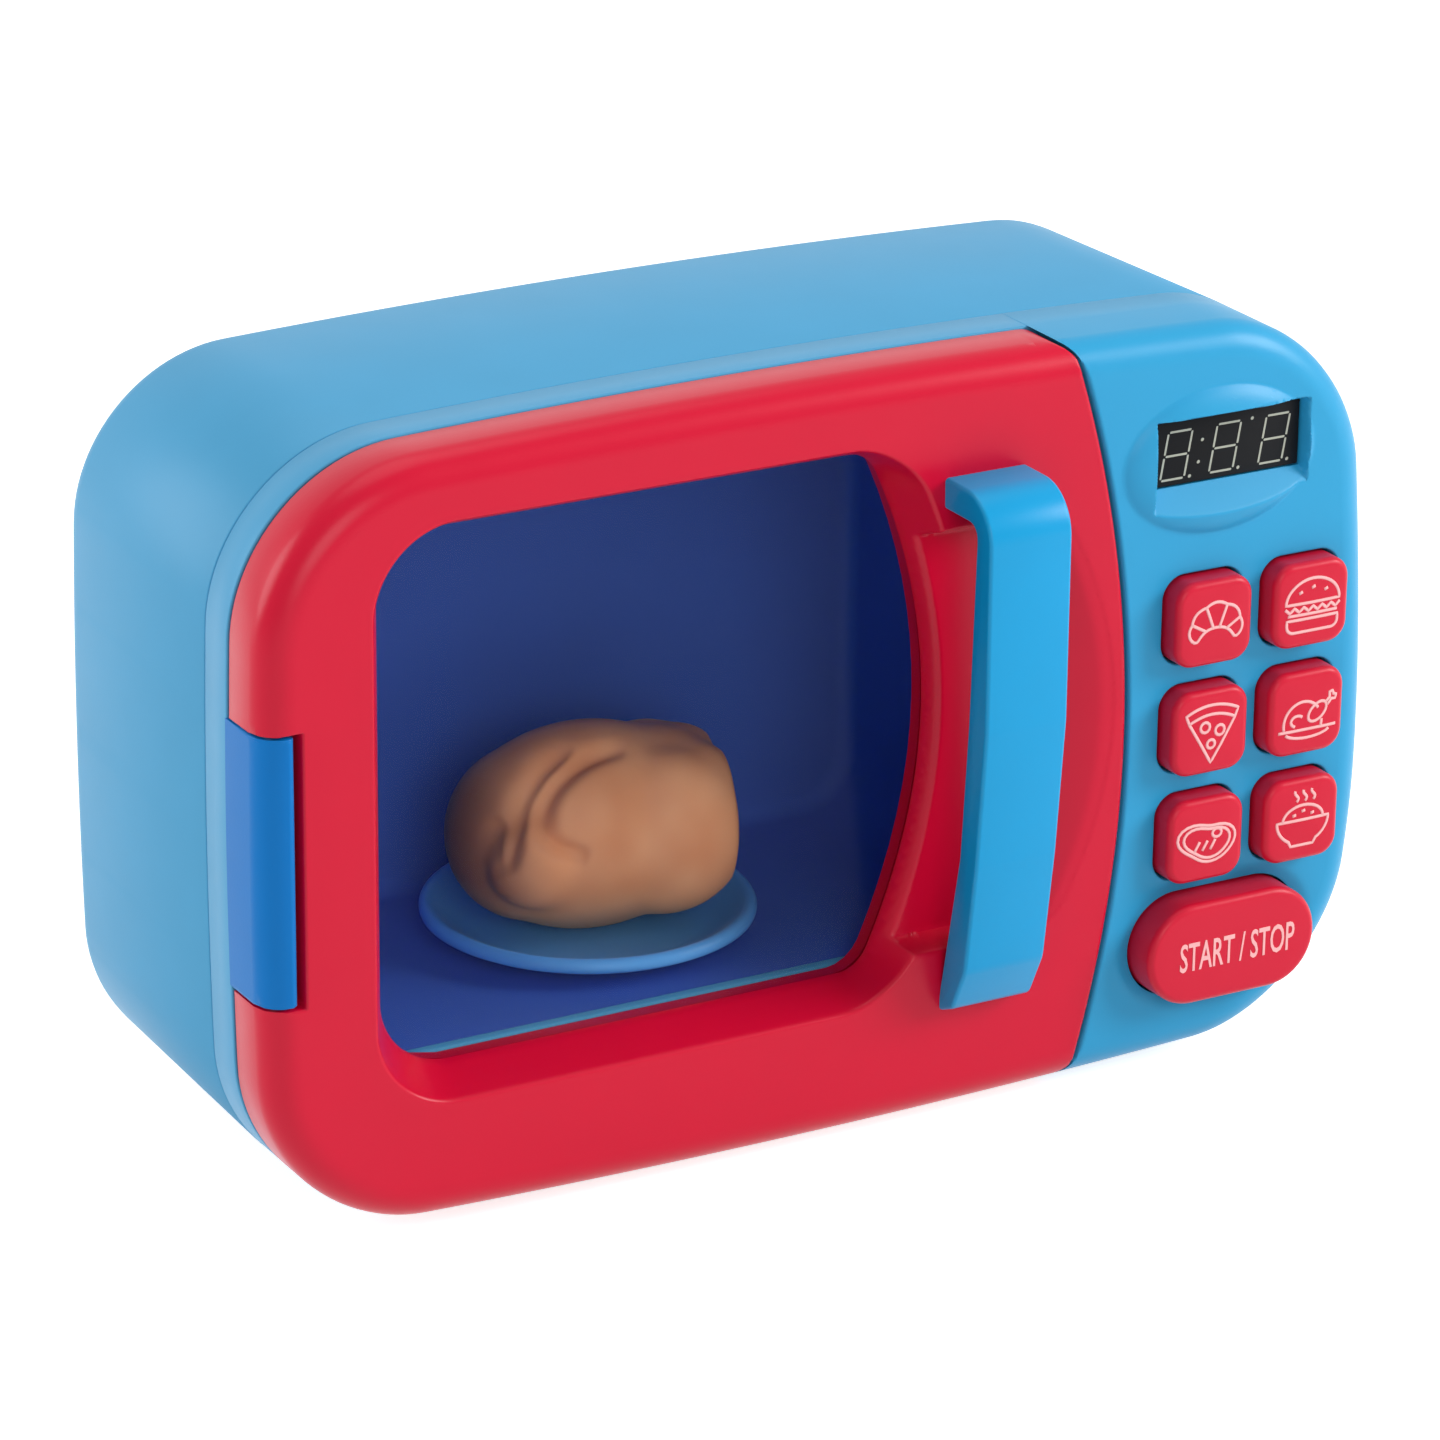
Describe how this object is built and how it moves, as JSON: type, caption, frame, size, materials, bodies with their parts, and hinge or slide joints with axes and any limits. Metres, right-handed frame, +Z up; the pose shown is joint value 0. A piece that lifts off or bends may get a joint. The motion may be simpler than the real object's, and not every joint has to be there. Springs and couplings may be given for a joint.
{
  "type": "toy microwave",
  "caption": "Toy microwave oven with a hinged window door and pull handle, a geared turntable with play food, a control panel of sprung keys and a battery box at the back.",
  "frame": {"origin": "middle of the footprint, on the surface that the feet stand on", "axes": "+Z up, +X towards the control panel as seen from the front, -Y towards the door"},
  "size_m": [0.3092, 0.137, 0.1985],
  "materials": {
    "blue_plastic": "satin moulded plastic",
    "red_plastic": "semi-gloss moulded plastic",
    "liner_plastic": "semi-gloss moulded plastic",
    "clear_plastic": "clear",
    "steel": "bright plated",
    "white_plastic": "natural",
    "black_plastic": "smooth",
    "grey_rubber": "matte",
    "board_green": "solder mask",
    "food_plastic": "soft sheen",
    "cell_wrap": "printed sleeve",
    "lamp_lens": "frosted"
  },
  "bodies": {
    "case": {"battery_1": "cell_wrap", "battery_2": "cell_wrap", "battery_3": "cell_wrap", "battery_contact_lower": "steel", "battery_contact_upper": "steel", "board_screw_lower": "steel", "board_screw_upper": "steel", "case_screw_1": "steel", "case_screw_2": "steel", "case_screw_3": "steel", "case_screw_4": "steel", "case_screw_5": "steel", "case_screw_6": "steel", "cavity_lamp": "lamp_lens", "cavity_liner": "liner_plastic", "circuit_board": "board_green", "clock_display": "black_plastic", "door_magnet": "steel", "drive_bracket": "white_plastic", "foot_front_left": "grey_rubber", "foot_front_right": "grey_rubber", "foot_rear_left": "grey_rubber", "foot_rear_right": "grey_rubber", "front_housing": "blue_plastic", "gear_motor": "steel", "hinge_pin": "steel", "keypad_mat": "grey_rubber", "rear_housing": "blue_plastic", "speaker": "black_plastic"},
    "door": {"door_front": "red_plastic", "door_back": "red_plastic", "door_window": "clear_plastic", "door_handle": "blue_plastic", "catch_plate": "steel", "handle_screw_upper": "steel", "handle_screw_lower": "steel"},
    "turntable": {"turntable_plate": "liner_plastic", "turntable_spindle": "white_plastic", "turntable_gear": "white_plastic"},
    "drive_pinion": {"drive_pinion": "white_plastic"},
    "play_chicken": {"play_chicken": "food_plastic"},
    "battery_cover": {"battery_cover": "blue_plastic", "battery_cover_screw": "steel"},
    "croissant_key": {"croissant_key": "red_plastic"},
    "burger_key": {"burger_key": "red_plastic"},
    "pizza_key": {"pizza_key": "red_plastic"},
    "roast_key": {"roast_key": "red_plastic"},
    "steak_key": {"steak_key": "red_plastic"},
    "rice_bowl_key": {"rice_bowl_key": "red_plastic"},
    "start_stop_key": {"start_stop_key": "red_plastic"}
  },
  "joints": [
    {"name": "door_hinge", "type": "hinge", "parent": "case", "child": "door", "pos_m": [-0.15015, -0.0425, 0.101], "axis": [0, 0, -1], "range_deg": [0, 100]},
    {"name": "turntable_spin", "type": "hinge", "parent": "case", "child": "turntable", "pos_m": [-0.03315, 0.0207, 0.04], "axis": [0, 0, 1], "continuous": true},
    {"name": "pinion_spin", "type": "hinge", "parent": "case", "child": "drive_pinion", "pos_m": [-0.00915, 0.0207, 0.04], "axis": [0, 0, 1], "continuous": true},
    {"name": "chicken_lift", "type": "slide", "parent": "turntable", "child": "play_chicken", "axis": [0, 0, 1], "range_m": [0, 0.06]},
    {"name": "battery_cover_pull", "type": "slide", "parent": "case", "child": "battery_cover", "axis": [0, 1, 0], "range_m": [0, 0.02]},
    {"name": "croissant_key_press", "type": "slide", "parent": "case", "child": "croissant_key", "axis": [0, 1, 0], "range_m": [0, 0.002], "stiffness_N_per_m": 300, "springref_m": -0.0005},
    {"name": "burger_key_press", "type": "slide", "parent": "case", "child": "burger_key", "axis": [0, 1, 0], "range_m": [0, 0.002], "stiffness_N_per_m": 300, "springref_m": -0.0005},
    {"name": "pizza_key_press", "type": "slide", "parent": "case", "child": "pizza_key", "axis": [0, 1, 0], "range_m": [0, 0.002], "stiffness_N_per_m": 300, "springref_m": -0.0005},
    {"name": "roast_key_press", "type": "slide", "parent": "case", "child": "roast_key", "axis": [0, 1, 0], "range_m": [0, 0.002], "stiffness_N_per_m": 300, "springref_m": -0.0005},
    {"name": "steak_key_press", "type": "slide", "parent": "case", "child": "steak_key", "axis": [0, 1, 0], "range_m": [0, 0.002], "stiffness_N_per_m": 300, "springref_m": -0.0005},
    {"name": "rice_bowl_key_press", "type": "slide", "parent": "case", "child": "rice_bowl_key", "axis": [0, 1, 0], "range_m": [0, 0.002], "stiffness_N_per_m": 300, "springref_m": -0.0005},
    {"name": "start_stop_key_press", "type": "slide", "parent": "case", "child": "start_stop_key", "axis": [0, 1, 0], "range_m": [0, 0.002], "stiffness_N_per_m": 300, "springref_m": -0.0005}
  ],
  "couplings": [
    {"joint": "pinion_spin", "follows": "turntable_spin", "ratio": -3}
  ]
}
